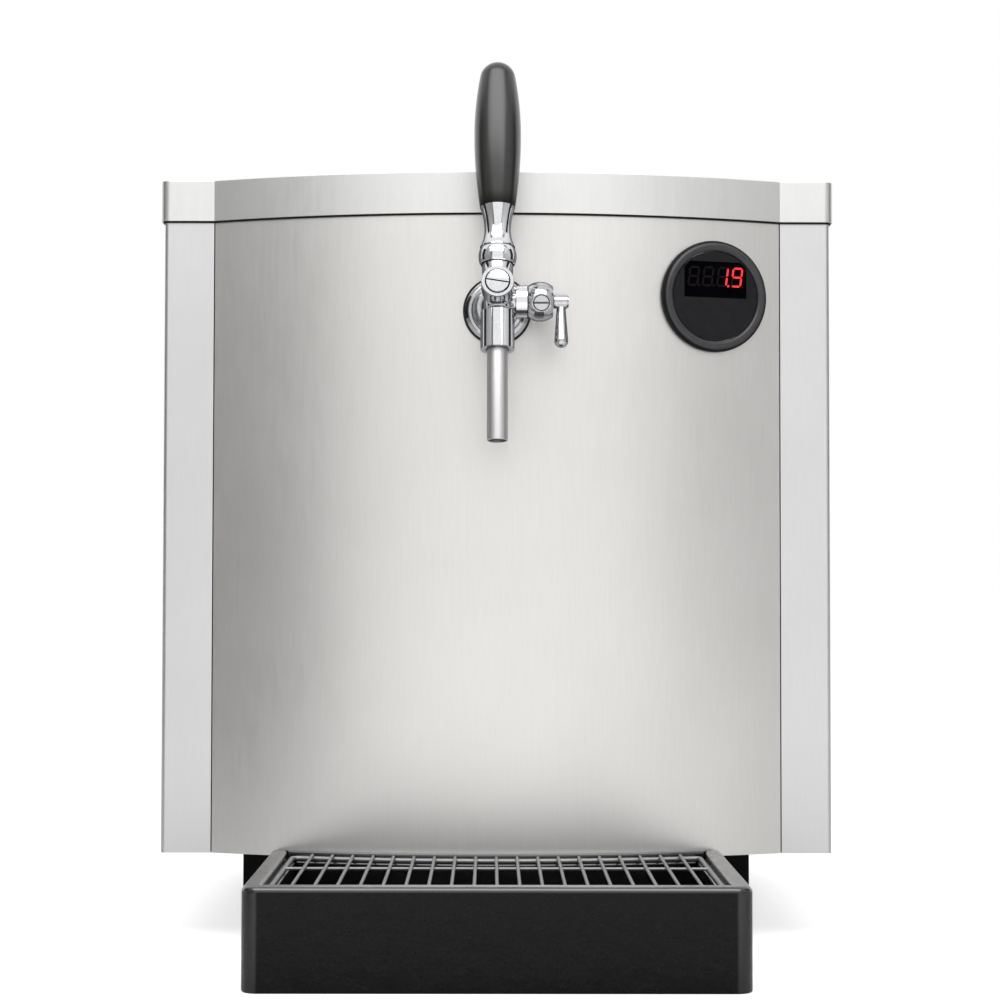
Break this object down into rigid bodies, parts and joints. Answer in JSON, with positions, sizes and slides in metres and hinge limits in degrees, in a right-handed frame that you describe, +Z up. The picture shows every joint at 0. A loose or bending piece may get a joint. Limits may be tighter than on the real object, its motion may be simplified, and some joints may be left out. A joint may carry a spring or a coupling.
{
  "type": "draft beer dispenser",
  "caption": "Countertop beer cooler with a bulged stainless front, a compensator tap, a round digital thermometer and a black drip tray with a wire grille.",
  "frame": {"origin": "centre of the footprint on the counter", "axes": "+Z up, +Y to the rear, so the tap and tray face -Y and +X is to the viewer's right"},
  "size_m": [0.4794, 0.6554, 0.601],
  "materials": {
    "stainless": "brushed",
    "screw_steel": "satin",
    "chrome": "polished",
    "spout_steel": "satin",
    "wire_steel": "satin",
    "handle_black": "gloss",
    "tray_black": "satin grain",
    "plinth_black": "matt",
    "rubber_black": "matt",
    "bezel_grey": "satin",
    "face_black": "satin",
    "window_dark": "gloss",
    "led_red": "glowing",
    "led_off": "gloss",
    "case_black": "satin",
    "rocker_red": "gloss",
    "white_plastic": "satin",
    "brass_nut": "satin",
    "copper": "satin",
    "foam": "matt",
    "aluminium_cast": "cast",
    "motor_paint": "satin",
    "fin_aluminium": "mill"
  },
  "bodies": {
    "cabinet": {"base_pan": "stainless", "plinth": "plinth_black", "feet": "rubber_black", "left_side": "stainless", "right_side": "stainless", "front_panel": "stainless", "rear_panel": "stainless", "lid": "stainless", "lid_screws": "screw_steel", "rear_screws": "screw_steel", "rosette_gasket": "rubber_black", "rosette": "chrome", "tap_shank": "chrome", "shank_nut": "brass_nut", "coupling_nut": "chrome", "tap_body": "chrome", "tap_collar": "chrome", "front_plug": "chrome", "spout": "spout_steel", "compensator_housing": "chrome", "compensator_screw": "chrome", "bezel": "bezel_grey", "display_face": "face_black", "display_window": "window_dark", "segments_lit": "led_red", "segments_dark": "led_off", "display_case": "case_black", "display_nut": "case_black", "insulation": "foam", "cooling_block": "aluminium_cast", "compressor": "motor_paint", "compressor_mounts": "rubber_black", "condenser": "fin_aluminium", "fan_shroud": "screw_steel", "fan_motor": "motor_paint", "filter_drier": "copper", "capillary": "copper", "discharge_line": "copper", "suction_line": "copper", "product_line": "white_plastic", "tap_hose": "white_plastic", "inlet_fitting": "white_plastic", "inlet_nut": "white_plastic", "thermostat": "white_plastic", "switch_frame": "case_black", "power_inlet": "case_black"},
    "lever": {"tap_lever": "chrome", "tap_handle": "handle_black"},
    "stem": {"valve_stem": "spout_steel", "valve_seal": "rubber_black"},
    "flow_control": {"flow_lever": "chrome"},
    "cone": {"compensator_cone": "white_plastic"},
    "tray": {"drip_tray": "tray_black"},
    "grille": {"drip_grille": "wire_steel"},
    "fan": {"fan_rotor": "case_black"},
    "knob": {"thermostat_knob": "case_black"},
    "switch_key": {"rocker": "rocker_red"},
    "collet": {"inlet_collet": "bezel_grey"}
  },
  "joints": [
    {"name": "handle_pull", "type": "hinge", "parent": "cabinet", "child": "lever", "pos_m": [0, -0.20189, 0.46493], "axis": [1, 0, 0], "range_deg": [0, 25]},
    {"name": "valve_slide", "type": "slide", "parent": "cabinet", "child": "stem", "axis": [0, 0.9781, -0.2079], "range_m": [0, 0.0075]},
    {"name": "flow_turn", "type": "hinge", "parent": "cabinet", "child": "flow_control", "pos_m": [0.03, -0.17586, 0.43829], "axis": [1, 0, 0], "range_deg": [-180, 0]},
    {"name": "cone_slide", "type": "slide", "parent": "cabinet", "child": "cone", "axis": [0, 0.9781, -0.2079], "range_m": [0, 0.0042]},
    {"name": "tray_slide", "type": "slide", "parent": "cabinet", "child": "tray", "axis": [0, -1, 0], "range_m": [0, 0.22]},
    {"name": "grille_lift", "type": "slide", "parent": "tray", "child": "grille", "axis": [0, 0, 1], "range_m": [0, 0.08]},
    {"name": "fan_spin", "type": "hinge", "parent": "cabinet", "child": "fan", "pos_m": [0.092, 0.23, 0.1615], "axis": [0, 1, 0], "continuous": true},
    {"name": "knob_turn", "type": "hinge", "parent": "cabinet", "child": "knob", "pos_m": [-0.06, 0.2977, 0.434], "axis": [0, 1, 0], "range_deg": [0, 270]},
    {"name": "switch_rock", "type": "hinge", "parent": "cabinet", "child": "switch_key", "pos_m": [-0.13, 0.2962, 0.444], "axis": [1, 0, 0], "range_deg": [-16, 0]},
    {"name": "collet_press", "type": "slide", "parent": "cabinet", "child": "collet", "axis": [0, -1, 0], "range_m": [0, 0.0012]}
  ],
  "couplings": [
    {"joint": "valve_slide", "follows": "handle_pull", "m_per_rad": 0.016127},
    {"joint": "cone_slide", "follows": "flow_turn", "m_per_rad": -0.0012732}
  ]
}
